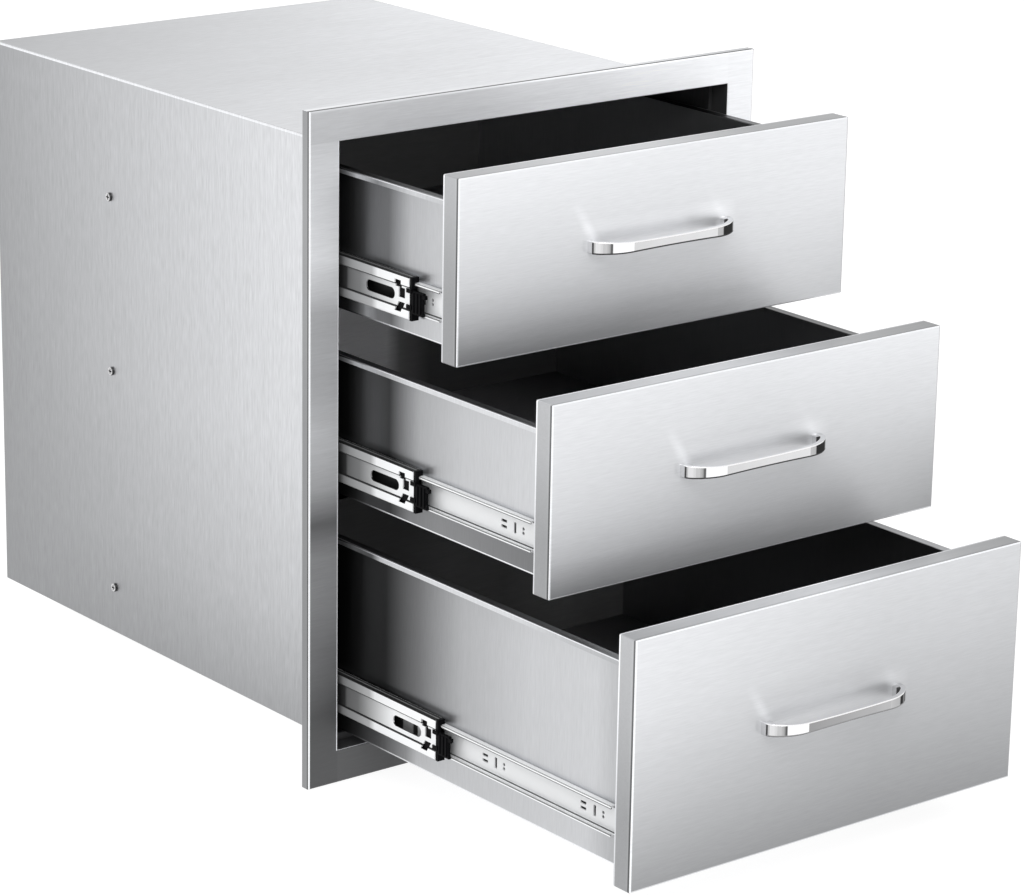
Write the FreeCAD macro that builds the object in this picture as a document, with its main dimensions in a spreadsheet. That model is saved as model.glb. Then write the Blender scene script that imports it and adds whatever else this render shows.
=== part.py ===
import FreeCAD, Part
import math
import os
import re
import Sketcher

# Built-in drawer unit: a thin sheet case behind a trim frame, with three drawers on ball-bearing slides.
# X runs across the unit, the drawers pull out along -Y, and Z is up.
# The origin is on the back plane of the trim flange, at mid-width, level with the underside of the case.
# Each drawer is drawn closed, and its Placement then sets how far it stands open.

SIZES = {
    # Trim frame round the opening
    "trim_width": 478,
    "trim_height": 584,
    "trim_depth": 9.5,
    "trim_low": -34,
    "trim_sheet": 1.2,
    "trim_back_lip": 12,
    "trim_bend": 1.8,
    "opening_width": 418,
    "opening_low": -4.8,
    "opening_high": 522.6,
    "rebate_depth": 21.5,
    "opening_bend": 0.8,
    # Sheet case
    "case_width": 413,
    "case_height": 518,
    "case_back_at": 530,
    "case_sheet": 1,
    "case_bend": 0.8,
    # Drawer fronts
    "front_width": 415,
    "front_thick": 19.5,
    "front_sheet": 1,
    "front_gap": 2,
    "front_bend": 1.2,
    "bottom_front_low": -3,
    "bottom_front_height": 208,
    "centre_front_height": 158.6,
    "top_front_height": 153.2,
    # Drawer boxes
    "box_length": 467,
    "box_sheet": 1,
    "box_rise": 8.5,
    "lip_width": 8,
    "lip_turn": 4.4,
    "lip_bend": 0.9,
    "top_lip_drop": 23,
    "centre_lip_drop": 25.9,
    "bottom_lip_drop": 25.2,
    "back_drop": 2,
    # Slides
    "rail_space": 12.7,
    "rail_sheet": 1.2,
    "rail_bend": 1.5,
    "rail_length": 450,
    "rail_start": 24.8,
    "case_rail_height": 45,
    "case_rail_reach": 9.5,
    "case_rail_lip": 2.4,
    "link_rail_height": 35.2,
    "link_rail_at": 3,
    "link_rail_reach": 11,
    "link_rail_lip": 2.6,
    "link_rail_length": 440,
    "link_rail_start": 31,
    "band_height": 8,
    "band_step": 1,
    "band_lean": 0.5,
    "drawer_rail_height": 26.4,
    "drawer_rail_at": 6.2,
    "drawer_rail_lip": 2.4,
    "top_rail_rise": 41,
    "centre_rail_rise": 41.5,
    "bottom_rail_rise": 46.5,
    # Punched holes of the slides
    "slot_length": 39,
    "slot_height": 9.5,
    "slot_inset": 39.5,
    "hole_inset": 6.4,
    "hole_width": 8.4,
    "hole_shift": 4.4,
    "stepped_high": 13.2,
    "stepped_middle": 7.2,
    "stepped_low": 1,
    "leaning_high": 4.8,
    "leaning_low": 12.8,
    "mark_inset": 15.2,
    "mark_pitch": 125.5,
    "mark_dot": 3,
    "mark_dot_gap": 1.8,
    "mark_bar_length": 7,
    "mark_bar_height": 2.4,
    "mark_bar_gap": 2.4,
    "mark_stroke_width": 3,
    "mark_stroke_height": 9.2,
    "mark_step": 10.5,
    # End stops of the link rails
    "stop_reach": 20,
    "stop_body": 17.5,
    "stop_waist": 1.6,
    "stop_body_high": 7.6,
    "stop_body_low": 11.6,
    "stop_nib_high": 6.4,
    "stop_nib_low": 3.2,
    "stop_mouth": 3,
    "stop_mouth_high": 16,
    "stop_tail": 20,
    "stop_tongue_high": 14.4,
    "stop_gap": 0.4,
    "stop_clear": 0.1,
    "stop_ear_low": 13.6,
    "stop_ear_high": 18,
    "stop_ear_reach": 10,
    "stop_rib": 1.4,
    "stop_rib_rise": 0.8,
    "stop_rib_pitch": 4.5,
    "stop_hook": 3.8,
    "stop_hook_low": 5,
    "stop_hook_high": 8.4,
    # Handles
    "handle_centres": 141,
    "bow_length": 151,
    "bow_reach": 22,
    "bow_thick": 4.5,
    "bow_height": 11,
    "bow_waist": 8.2,
    "waist_radius": 2100,
    "bow_leg": 8,
    "bow_leg_inner": 5.76,
    "bow_shoulder": 57,
    "bow_shoulder_inner": 55.49,
    "leg_bend": 15,
    "crown_bend": 37,
    "bow_edge": 0.8,
    "foot_width": 8,
    "foot_height": 9,
    "foot_thick": 4.8,
    "handle_rise": 3.5,
    # Screws
    "screw_shank": 4,
    "screw_head": 8,
    "screw_head_height": 2.2,
    "screw_dome": 0.8,
    "cross_width": 1.2,
    "cross_length": 4.6,
    "cross_depth": 1.4,
    "handle_screw_grip": 4,
    "case_screw_at": 340,
    "case_screw_grip": 2.2,
    # How far each drawer and its link rails stand open
    "top_open": 156,
    "centre_open": 277,
    "bottom_open": 383,
    "top_link_open": 128,
    "centre_link_open": 135.7,
    "bottom_link_open": 169,
}

DRAWERS = ("top", "centre", "bottom")
SIDES = (("left", -1), ("right", 1))
GUESS_RADIUS = 100
TOLERANCE = 0.01

# Levels and half widths that several pieces share, written as formulas of the sheet
FRONT_LOW = {"bottom": "bottom_front_low"}
FRONT_LOW["centre"] = "(bottom_front_low + bottom_front_height + front_gap)"
FRONT_LOW["top"] = f"({FRONT_LOW['centre']} + centre_front_height + front_gap)"
FRONT_FACE = "(0 - trim_depth)"
FRONT_REAR = "(front_thick - trim_depth)"
REBATE_REAR = "(rebate_depth - trim_depth)"
CASE_INNER = "(case_width / 2 - case_sheet)"
BOX_OUTER = f"({CASE_INNER} - rail_space)"
BOX_INNER = f"({BOX_OUTER} - box_sheet)"

doc = FreeCAD.newDocument("drawer_unit")
sheet = doc.addObject("Spreadsheet::Sheet", "Sizes")
for row, (word, number) in enumerate(SIZES.items(), 1):
    sheet.set(f"A{row}", word)
    sheet.set(f"B{row}", str(number))
    sheet.setAlias(f"B{row}", word)
doc.recompute()

pieces = []
cuts = []


def cells(formula):
    """The formula with every size written as a cell of the sheet."""
    return re.sub(r"[a-z_]{3,}", lambda word: f"Sizes.{word.group(0)}", str(formula))


def bind(thing, **formulas):
    for name, formula in formulas.items():
        thing.setExpression(name, cells(formula))


def place(thing, across="0", along="0", up="0"):
    for axis, formula in zip("xyz", (across, along, up)):
        thing.setExpression(f"Placement.Base.{axis}", cells(formula))


def origin_plane(body, role):
    return next(plane for plane in body.Origin.OriginFeatures if plane.Role == role)


def new_body(label, along="0"):
    """A body that is one sub-part, moved along Y by a formula."""
    body = doc.addObject("PartDesign::Body", label)
    body.Label = label
    place(body, along=along)
    pieces.append(body)
    return body


def new_sketch(body, name, role, offset):
    sketch = body.newObject("Sketcher::SketchObject", name)
    sketch.AttachmentSupport = (origin_plane(body, role), [""])
    sketch.MapMode = "FlatFace"
    sketch.setExpression("AttachmentOffset.Base.z", cells(offset))
    return sketch


def add_loop(sketch, corners):
    """A closed outline of straight sides, each corner held by two formulas."""
    first = sketch.GeometryCount
    count = len(corners)
    turn = 2 * math.pi / count
    guess = [FreeCAD.Vector(GUESS_RADIUS * math.cos(turn * step), GUESS_RADIUS * math.sin(turn * step), 0)
             for step in range(count)]
    for step in range(count):
        sketch.addGeometry(Part.LineSegment(guess[step], guess[(step + 1) % count]))
    for step in range(count):
        following = first + (step + 1) % count
        sketch.addConstraint(Sketcher.Constraint("Coincident", first + step, 2, following, 1))
    for step, (across, up) in enumerate(corners):
        hold_point(sketch, first + step, 1, guess[step], across, up)


def add_circle(sketch, across, up, radius):
    centre = FreeCAD.Vector(GUESS_RADIUS, GUESS_RADIUS, 0)
    circle = sketch.addGeometry(Part.Circle(centre, FreeCAD.Vector(0, 0, 1), 1))
    hold_point(sketch, circle, 3, centre, across, up)
    number = sketch.addConstraint(Sketcher.Constraint("Radius", circle, 1))
    sketch.setExpression(f"Constraints[{number}]", cells(radius))


def hold_point(sketch, shape, end, guess, across, up):
    for kind, start, formula in (("DistanceX", guess.x, across), ("DistanceY", guess.y, up)):
        number = sketch.addConstraint(Sketcher.Constraint(kind, -1, 1, shape, end, start))
        sketch.setExpression(f"Constraints[{number}]", cells(formula))


def rectangle(low_across, high_across, low_up, high_up):
    return [(low_across, low_up), (high_across, low_up), (high_across, high_up), (low_across, high_up)]


def pad(body, name, loops, role, offset, length):
    """Outlines padded along the normal of an origin plane, from a formula for the start."""
    sketch = new_sketch(body, f"{name}_sketch", role, offset)
    for loop in loops:
        add_loop(sketch, loop)
    feature = body.newObject("PartDesign::Pad", name)
    feature.Profile = sketch
    bind(feature, Length=length)
    return feature


def pad_along(body, name, loops, front, rear):
    """Outlines in X and Z, padded from the rear to the front of the piece."""
    return pad(body, name, loops, "XZ_Plane", f"0 - ({rear})", f"({rear}) - ({front})")


def pocket(body, name, role, offset="0", length=None, loops=(), circles=()):
    """Holes cut through everything both ways, or to a depth behind the sketch."""
    sketch = new_sketch(body, f"{name}_sketch", role, offset)
    for loop in loops:
        add_loop(sketch, loop)
    for circle in circles:
        add_circle(sketch, *circle)
    base = body.Tip
    feature = body.newObject("PartDesign::Pocket", name)
    feature.Profile = sketch
    if length is None:
        feature.Type = "ThroughAll"
        feature.SideType = "Symmetric"
    else:
        bind(feature, Length=length)
    cuts.append((feature, base))
    return feature


def round_edges(body, name, radius, wanted):
    """Fillets on the edges of the newest feature that the test picks."""
    doc.recompute()
    base = body.Tip
    bounds = base.Shape.BoundBox
    names = [f"Edge{number}" for number, edge in enumerate(base.Shape.Edges, 1)
             if wanted(edge.BoundBox, bounds)]
    if not names:
        raise RuntimeError(f"no edge to round for {body.Label} {name}")
    fillet = body.newObject("PartDesign::Fillet", name)
    fillet.Base = (base, names)
    bind(fillet, Radius=radius)
    return fillet


def near(first, second):
    return abs(first - second) < TOLERANCE


def upright(edge):
    """True for a straight edge along Z."""
    return edge.ZLength > TOLERANCE and near(edge.XLength, 0) and near(edge.YLength, 0)


def runs_along(edge):
    """True for a straight edge along Y."""
    return edge.YLength > TOLERANCE and near(edge.XLength, 0) and near(edge.ZLength, 0)


def on_leg(edge, bounds, inset):
    """True for an upright edge on a leg of a bow, this far in from its end and clear of the root."""
    at_end = near(edge.XMax, bounds.XMax - inset) or near(edge.XMin, bounds.XMin + inset)
    return upright(edge) and at_end and edge.YMax < bounds.YMax - TOLERANCE


def at_section_corner(edge, bounds):
    """True for a long edge on an outer corner of the section in X and Z."""
    on_side = near(edge.XMin, bounds.XMin) or near(edge.XMax, bounds.XMax)
    on_level = near(edge.ZMin, bounds.ZMin) or near(edge.ZMax, bounds.ZMax)
    return runs_along(edge) and on_side and on_level


def plate(label, size, low):
    """A flat sheet, given by its size and its low corner along X, Y and Z."""
    piece = doc.addObject("Part::Box", label)
    piece.Label = label
    bind(piece, Length=size[0], Width=size[1], Height=size[2])
    place(piece, *low)
    pieces.append(piece)
    return piece


def trim_frame():
    body = new_body("trim_frame")
    half_width = "trim_width / 2"
    half_opening = "opening_width / 2"
    high = "trim_low + trim_height"
    lip = SIZES["trim_back_lip"]

    def outer(inset):
        return rectangle(f"0 - {half_width} + {inset}", f"{half_width} - {inset}",
                         f"trim_low + {inset}", f"{high} - {inset}")

    def opening(grow):
        return rectangle(f"0 - {half_opening} - {grow}", f"{half_opening} + {grow}",
                         f"opening_low - {grow}", f"opening_high + {grow}")

    stop = rectangle(f"0 - {CASE_INNER}", CASE_INNER, "case_sheet", "case_height - case_sheet")
    pad_along(body, "outer_return", [outer("0"), outer("trim_sheet")], FRONT_FACE, "0")
    pad_along(body, "face", [outer("0"), opening("0")], FRONT_FACE, f"{FRONT_FACE} + trim_sheet")
    pad_along(body, "back_lip", [outer("0"), outer("trim_back_lip")], "0 - trim_sheet", "0")
    pad_along(body, "rebate", [opening("trim_sheet"), opening("0")], FRONT_FACE, REBATE_REAR)
    pad_along(body, "stop_lip", [opening("trim_sheet"), stop], f"{REBATE_REAR} - trim_sheet", REBATE_REAR)
    round_edges(body, "outer_bend", "trim_bend",
                lambda edge, bounds: near(edge.YMax, bounds.YMin)
                and (near(edge.XMin, bounds.XMax) or near(edge.XMax, bounds.XMin)
                     or near(edge.ZMin, bounds.ZMax) or near(edge.ZMax, bounds.ZMin)))
    round_edges(body, "opening_bend", "opening_bend",
                lambda edge, bounds: near(edge.YMax, bounds.YMin)
                and edge.XMin > bounds.XMin + lip and edge.XMax < bounds.XMax - lip
                and edge.ZMin > bounds.ZMin + lip and edge.ZMax < bounds.ZMax - lip)


def case_side(side, sign):
    """A side wall with the holes of its rail screws."""
    body = new_body(f"case_side_{side}")
    outer = f"{sign} * case_width / 2"
    inner = f"{sign} * {CASE_INNER}"
    pad_along(body, "wall", [rectangle(outer, inner, "0", "case_height")], REBATE_REAR, "case_back_at")
    round_edges(body, "bends", "case_bend",
                lambda edge, bounds: at_section_corner(edge, bounds)
                and near(edge.XMin, bounds.XMin if sign < 0 else bounds.XMax))
    holes = [("case_screw_at", rail_level(drawer), "screw_shank / 2") for drawer in DRAWERS]
    pocket(body, "screw_holes", "YZ_Plane", circles=holes)


def case_panels():
    for side, sign in SIDES:
        case_side(side, sign)
    width = f"2 * {CASE_INNER}"
    depth = f"case_back_at - {REBATE_REAR}"
    left = f"0 - {CASE_INNER}"
    plate("case_top", (width, depth, "case_sheet"), (left, REBATE_REAR, "case_height - case_sheet"))
    plate("case_floor", (width, depth, "case_sheet"), (left, REBATE_REAR, "0"))
    plate("case_back", (width, "case_sheet", "case_height - 2 * case_sheet"),
          (left, "case_back_at - case_sheet", "case_sheet"))


def rail_level(drawer):
    return f"({FRONT_LOW[drawer]} + {drawer}_rail_rise)"


def from_wall(sign, reach):
    """The X of a point that stands off the inner face of a case wall."""
    return f"{sign} * ({CASE_INNER} - ({reach}))"


def on_level(sign, level, halves):
    """Points of a section as (distance from the wall, height), lower half first, set on a rail level."""
    return [(from_wall(sign, off), f"{level} + {up}") for off, up in halves]


def channel(sign, level, web, web_inner, reach, lip_inner, half, lip):
    """The section of a rail: a web, two flanges and two short lips turned towards each other."""
    inner_half = f"{half} - rail_sheet"
    lower = [(web, f"0 - {half}"), (reach, f"0 - {half}"), (reach, f"{lip} - {half}"),
             (lip_inner, f"{lip} - {half}"), (lip_inner, f"0 - ({inner_half})"),
             (web_inner, f"0 - ({inner_half})")]
    upper = [(off, f"0 - ({up})") for off, up in reversed(lower)]
    return on_level(sign, level, lower + upper)


def banded_channel(sign, level):
    """The section of a link rail: its web stands back a step between an upper and a lower band."""
    half = "link_rail_height / 2"
    band = "link_rail_at - band_step"
    band_inner = f"{band} + rail_sheet"
    lip_inner = "link_rail_reach - rail_sheet"
    step = f"band_height - {half}"
    lower = [(band, step), (band, f"0 - {half}"), ("link_rail_reach", f"0 - {half}"),
             ("link_rail_reach", f"link_rail_lip - {half}"), (lip_inner, f"link_rail_lip - {half}"),
             (lip_inner, f"rail_sheet - {half}"), (band_inner, f"rail_sheet - {half}"),
             (band_inner, f"{step} - band_lean"), ("link_rail_at + rail_sheet", f"{step} + band_lean")]
    upper = [(off, f"0 - ({up})") for off, up in reversed(lower)]
    web = [("link_rail_at", f"0 - ({step} + band_step)"), ("link_rail_at", f"{step} + band_step")]
    return on_level(sign, level, lower + upper + web)


def case_rail(drawer, side, sign):
    body = new_body(f"{drawer}_case_rail_{side}")
    section = channel(sign, rail_level(drawer), "0", "rail_sheet", "case_rail_reach",
                      "case_rail_reach - rail_sheet", "case_rail_height / 2", "case_rail_lip")
    pad_along(body, "channel", [section], "rail_start", "rail_start + rail_length")
    round_edges(body, "bends", "rail_bend", at_section_corner)
    pocket(body, "screw_hole", "YZ_Plane",
           circles=[("case_screw_at", rail_level(drawer), "screw_shank / 2")])


def link_rail(drawer, side, sign):
    """The middle member of a slide, with a slot and two holes punched near its front end."""
    body = new_body(f"{drawer}_link_rail_{side}", along=f"0 - {drawer}_link_open")
    level = rail_level(drawer)
    pad_along(body, "channel", [banded_channel(sign, level)], "link_rail_start",
              "link_rail_start + link_rail_length")
    round_edges(body, "bends", "rail_bend", at_section_corner)
    slot_half = "(slot_length - slot_height) / 2"
    slot_centre = "link_rail_start + slot_inset"
    slot_low = f"{level} - slot_height / 2"
    slot_high = f"{level} + slot_height / 2"
    pocket(body, "slot_middle", "YZ_Plane",
           loops=[rectangle(f"{slot_centre} - {slot_half}", f"{slot_centre} + {slot_half}",
                            slot_low, slot_high)])
    pocket(body, "slot_front_end", "YZ_Plane",
           circles=[(f"{slot_centre} - {slot_half}", level, "slot_height / 2")])
    pocket(body, "slot_rear_end", "YZ_Plane",
           circles=[(f"{slot_centre} + {slot_half}", level, "slot_height / 2")])
    near_edge = "link_rail_start + hole_inset"
    far_edge = f"{near_edge} + hole_width"
    stepped = [(f"{near_edge} + hole_shift", f"{level} + stepped_high"),
               (f"{far_edge} + hole_shift", f"{level} + stepped_high"),
               (f"{far_edge} + hole_shift", f"{level} + stepped_middle"),
               (far_edge, f"{level} + stepped_middle"), (far_edge, f"{level} - stepped_low"),
               (near_edge, f"{level} - stepped_low"), (near_edge, f"{level} + stepped_middle"),
               (f"{near_edge} + hole_shift", f"{level} + stepped_middle")]
    leaning = [(near_edge, f"{level} - leaning_high"), (far_edge, f"{level} - leaning_high"),
               (f"{far_edge} + hole_shift", f"{level} - leaning_low"),
               (f"{near_edge} + hole_shift", f"{level} - leaning_low")]
    pocket(body, "punched_holes", "YZ_Plane", loops=[stepped, leaning])


def link_stop(drawer, side, sign):
    """The plastic end stop in the mouth of a link rail, which also guides the drawer rail."""
    body = new_body(f"{drawer}_link_stop_{side}", along=f"0 - {drawer}_link_open")
    level = rail_level(drawer)
    mouth = "(link_rail_start - stop_mouth)"
    shoulder = "(link_rail_start - stop_body)"
    waist = f"({shoulder} + stop_waist)"
    tip = "(link_rail_start - stop_reach)"
    tongue = rectangle(from_wall(sign, "link_rail_at + rail_sheet"),
                       from_wall(sign, "drawer_rail_at - stop_gap"),
                       f"{level} - stop_tongue_high", f"{level} + stop_tongue_high")
    pad_along(body, "tongue", [tongue], mouth, "link_rail_start + stop_tail")
    outline = [("link_rail_start", "0 - stop_mouth_high"), ("link_rail_start", "stop_mouth_high"),
               (mouth, "stop_mouth_high"), (mouth, "stop_body_high"), (shoulder, "stop_body_high"),
               (shoulder, "stop_nib_high"), (tip, "stop_nib_high"), (tip, "stop_nib_low"),
               (waist, "stop_nib_low"), (waist, "0 - stop_ear_low / 2"), (shoulder, "0 - stop_body_low"),
               (mouth, "0 - stop_body_low"), (mouth, "0 - stop_mouth_high")]
    face = "link_rail_at - stop_clear"
    thick = "(drawer_rail_at - stop_gap - link_rail_at + stop_clear)"
    middle = from_wall(sign, f"{face} + {thick} / 2")
    pad(body, "plate", [[(along, f"{level} + {up}") for along, up in outline]], "YZ_Plane",
        f"{middle} - {thick} / 2", thick)
    for name, way in (("lower", -1), ("upper", 1)):
        ear = rectangle(from_wall(sign, face), from_wall(sign, "stop_ear_reach"),
                        f"{level} + {way} * stop_ear_low", f"{level} + {way} * stop_ear_high")
        pad_along(body, f"{name}_ear", [ear], mouth, "link_rail_start")
        hook = rectangle(from_wall(sign, face), from_wall(sign, f"{face} - stop_rib_rise"),
                         f"{level} + {way} * stop_hook_low", f"{level} + {way} * stop_hook_high")
        pad_along(body, f"{name}_hook", [hook], mouth, "link_rail_start + stop_hook")
    rib = rectangle(from_wall(sign, face), from_wall(sign, f"{face} - stop_rib_rise"),
                    f"{level} - stop_body_low + stop_rib", f"{level} + stop_body_high - stop_rib")
    for name, count in (("rear", 1), ("middle", 2), ("front", 3)):
        start = f"link_rail_start - {count} * stop_rib_pitch"
        pad_along(body, f"{name}_rib", [rib], f"{start} - stop_rib", start)


def drawer_rail(drawer, side, sign):
    """The drawer member of a slide, with two groups of punched marks."""
    body = new_body(f"{drawer}_drawer_rail_{side}", along=f"0 - {drawer}_open")
    level = rail_level(drawer)
    section = channel(sign, level, "rail_space", "rail_space - rail_sheet", "drawer_rail_at",
                      "drawer_rail_at + rail_sheet", "drawer_rail_height / 2", "drawer_rail_lip")
    pad_along(body, "channel", [section], "rail_start", "rail_start + rail_length")
    round_edges(body, "bends", "rail_bend", at_section_corner)
    dots = []
    bars = []
    for group in range(2):
        start = f"rail_start + mark_inset + {group} * mark_pitch"
        for way in (-1, 1):
            dots.append((start, f"{level} + {way} * mark_dot_gap", "mark_dot / 2"))
            bar_level = f"{level} + {way} * mark_bar_gap"
            bar_start = f"{start} + 2 * mark_step"
            bars.append(rectangle(bar_start, f"{bar_start} + mark_bar_length",
                                  f"{bar_level} - mark_bar_height / 2", f"{bar_level} + mark_bar_height / 2"))
        stroke = f"{start} + mark_step"
        bars.append(rectangle(f"{stroke} - mark_stroke_width / 2", f"{stroke} + mark_stroke_width / 2",
                              f"{level} - mark_stroke_height / 2", f"{level} + mark_stroke_height / 2"))
    pocket(body, "punched_dots", "YZ_Plane", circles=dots)
    pocket(body, "punched_bars", "YZ_Plane", loops=bars)


def handle_level(drawer):
    return f"({FRONT_LOW[drawer]} + {drawer}_front_height / 2 + handle_rise)"


def handle_holes(drawer):
    return [(f"{sign} * handle_centres / 2", handle_level(drawer), "screw_shank / 2")
            for side, sign in SIDES]


def drawer_front(drawer):
    """The folded pan and the liner plate that closes it from behind."""
    moved = f"0 - {drawer}_open"
    low = FRONT_LOW[drawer]
    high = f"{low} + {drawer}_front_height"
    half = "front_width / 2"
    inner = rectangle(f"0 - {half} + front_sheet", f"{half} - front_sheet",
                      f"{low} + front_sheet", f"{high} - front_sheet")
    pan = new_body(f"{drawer}_drawer_front", along=moved)
    pad_along(pan, "block", [rectangle(f"0 - {half}", half, low, high)], FRONT_FACE, FRONT_REAR)
    round_edges(pan, "bends", "front_bend",
                lambda edge, bounds: near(edge.YMax, bounds.YMin)
                or (runs_along(edge) and at_section_corner(edge, bounds)))
    pocket(pan, "hollow", "XZ_Plane", offset=f"0 - {FRONT_REAR}", length="front_thick - front_sheet",
           loops=[inner]).Reversed = True
    pocket(pan, "screw_holes", "XZ_Plane", circles=handle_holes(drawer))
    liner = new_body(f"{drawer}_drawer_liner", along=moved)
    pad_along(liner, "plate", [inner], f"{FRONT_REAR} - front_sheet", FRONT_REAR)
    pocket(liner, "screw_holes", "XZ_Plane", circles=handle_holes(drawer))


def drawer_side(drawer, side, sign):
    """A side wall of the box with its lip turned outward and down."""
    body = new_body(f"{drawer}_drawer_side_{side}", along=f"0 - {drawer}_open")
    outer = f"{sign} * {BOX_OUTER}"
    inner = f"{sign} * {BOX_INNER}"
    lip_outer = f"{sign} * ({BOX_OUTER} + lip_width)"
    lip_inner = f"{sign} * ({BOX_OUTER} + lip_width - box_sheet)"
    low = f"{FRONT_LOW[drawer]} + box_rise"
    high = box_high(drawer)
    section = [(inner, low), (inner, high), (lip_outer, high), (lip_outer, f"{high} - lip_turn"),
               (lip_inner, f"{high} - lip_turn"), (lip_inner, f"{high} - box_sheet"),
               (outer, f"{high} - box_sheet"), (outer, low)]
    pad_along(body, "wall", [section], FRONT_REAR, f"{FRONT_REAR} + box_length")
    round_edges(body, "bends", "lip_bend",
                lambda edge, bounds: at_section_corner(edge, bounds) and near(edge.ZMax, bounds.ZMax))


def box_high(drawer):
    return f"({FRONT_LOW[drawer]} + {drawer}_front_height - {drawer}_lip_drop)"


def drawer_box(drawer):
    for side, sign in SIDES:
        drawer_side(drawer, side, sign)
    low = f"{FRONT_LOW[drawer]} + box_rise"
    width = f"2 * {BOX_INNER}"
    left = f"0 - {BOX_INNER}"
    plate(f"{drawer}_drawer_floor", (width, "box_length", "box_sheet"),
          (left, f"{FRONT_REAR} - {drawer}_open", low))
    plate(f"{drawer}_drawer_back",
          (width, "box_sheet", f"{box_high(drawer)} - back_drop - ({low}) - box_sheet"),
          (left, f"{FRONT_REAR} + box_length - box_sheet - {drawer}_open", f"{low} + box_sheet"))


def handle(drawer):
    """A bow of flat bar, slimmer at its middle, with a thicker root and a blind screw hole at each end."""
    body = new_body(f"{drawer}_drawer_handle", along=f"0 - {drawer}_open")
    level = handle_level(drawer)
    half = "bow_length / 2"
    root = FRONT_FACE
    crown = f"{root} - bow_reach"
    outer = [(half, root), (half, f"{root} - bow_leg"), ("bow_shoulder", crown)]
    inner = [("bow_shoulder_inner", f"{crown} + bow_thick"), (f"{half} - bow_thick", f"{root} - bow_leg_inner"),
             (f"{half} - bow_thick", root)]
    mirrored = [(f"0 - ({across})", along) for across, along in outer + inner]
    section = outer + mirrored[2::-1] + mirrored[:2:-1] + inner
    pad(body, "bow", [section], "XY_Plane", f"{level} - bow_height / 2", "bow_height")
    thick = SIZES["bow_thick"]
    round_edges(body, "outer_leg_bends", "leg_bend", lambda edge, bounds: on_leg(edge, bounds, 0))
    round_edges(body, "inner_leg_bends", "leg_bend - bow_thick", lambda edge, bounds: on_leg(edge, bounds, thick))
    round_edges(body, "outer_crown_bends", "crown_bend",
                lambda edge, bounds: upright(edge) and near(edge.YMax, bounds.YMin))
    round_edges(body, "inner_crown_bends", "crown_bend - bow_thick",
                lambda edge, bounds: upright(edge) and near(edge.YMax, bounds.YMin + thick))
    waist = "(bow_waist / 2 + waist_radius)"
    pocket(body, "waist_above", "XZ_Plane", circles=[("0", f"{level} + {waist}", "waist_radius")])
    pocket(body, "waist_below", "XZ_Plane", circles=[("0", f"{level} - {waist}", "waist_radius")])
    round_edges(body, "bow_edges", "bow_edge",
                lambda edge, bounds: edge.XLength > thick and edge.YMin < bounds.YMax - TOLERANCE)
    for side, sign in SIDES:
        centre = f"{sign} * handle_centres / 2"
        foot = rectangle(f"{centre} - foot_width / 2", f"{centre} + foot_width / 2",
                         f"{level} - foot_height / 2", f"{level} + foot_height / 2")
        pad_along(body, f"foot_{side}", [foot], f"{root} - foot_thick", root)
    pocket(body, "screw_holes", "XZ_Plane", offset=f"0 - {FRONT_FACE}", length="handle_screw_grip",
           circles=handle_holes(drawer)).Reversed = True


def screw(name, length):
    """A pan-head screw that points along -Y, with the underside of its head at its origin."""
    shank = doc.addObject("Part::Cylinder", f"{name}_shank")
    bind(shank, Radius="screw_shank / 2", Height=length)
    head = doc.addObject("Part::Cylinder", f"{name}_head")
    bind(head, Radius="screw_head / 2", Height="screw_head_height")
    head.setExpression("Placement.Base.z", cells("0 - screw_head_height"))
    solid = doc.addObject("Part::Fuse", f"{name}_solid")
    solid.Base = shank
    solid.Tool = head
    doc.recompute()
    rim = [number for number, edge in enumerate(solid.Shape.Edges, 1)
           if near(edge.BoundBox.ZMax, solid.Shape.BoundBox.ZMin)]
    dome = doc.addObject("Part::Fillet", f"{name}_dome")
    dome.Base = solid
    dome.Edges = [(number, SIZES["screw_dome"], SIZES["screw_dome"]) for number in rim]
    drive = dome
    for way in ("across", "upright"):
        bar = doc.addObject("Part::Box", f"{name}_{way}")
        sides = ("cross_length", "cross_width") if way == "across" else ("cross_width", "cross_length")
        bind(bar, Length=sides[0], Width=sides[1], Height="cross_depth")
        place(bar, f"0 - {sides[0]} / 2", f"0 - {sides[1]} / 2", "0 - screw_head_height")
        cut = doc.addObject("Part::Cut", f"{name}_cut_{way}")
        cut.Base = drive
        cut.Tool = bar
        drive = cut
    return drive


def screw_group(label, length, spots, turn):
    """Alike screws in one sub-part, each set by its place and turned to point the same way."""
    placed = []
    for number, spot in enumerate(spots, 1):
        one = screw(f"{label}_{number}", length)
        one.Placement.Rotation = turn
        place(one, *spot)
        placed.append(one)
    group = doc.addObject("Part::Compound", label)
    group.Label = label
    group.Links = placed
    pieces.append(group)


def rail_screws(side, sign):
    turn = FreeCAD.Rotation(FreeCAD.Vector(0, 0, 1), FreeCAD.Vector(-sign, 0, 0))
    spots = [(f"{sign} * case_width / 2", "case_screw_at", rail_level(drawer)) for drawer in DRAWERS]
    screw_group(f"rail_screws_{side}", "case_screw_grip", spots, turn)


def handle_screws(drawer):
    turn = FreeCAD.Rotation(FreeCAD.Vector(0, 0, 1), FreeCAD.Vector(0, -1, 0))
    spots = [(f"{sign} * handle_centres / 2", f"{FRONT_REAR} - {drawer}_open", handle_level(drawer))
             for side, sign in SIDES]
    screw_group(f"{drawer}_handle_screws", "front_thick + handle_screw_grip", spots, turn)


def build():
    trim_frame()
    case_panels()
    for side, sign in SIDES:
        rail_screws(side, sign)
    for drawer in DRAWERS:
        for side, sign in SIDES:
            case_rail(drawer, side, sign)
            link_rail(drawer, side, sign)
            link_stop(drawer, side, sign)
            drawer_rail(drawer, side, sign)
        drawer_front(drawer)
        drawer_box(drawer)
        handle(drawer)
        handle_screws(drawer)
    doc.recompute()


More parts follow.
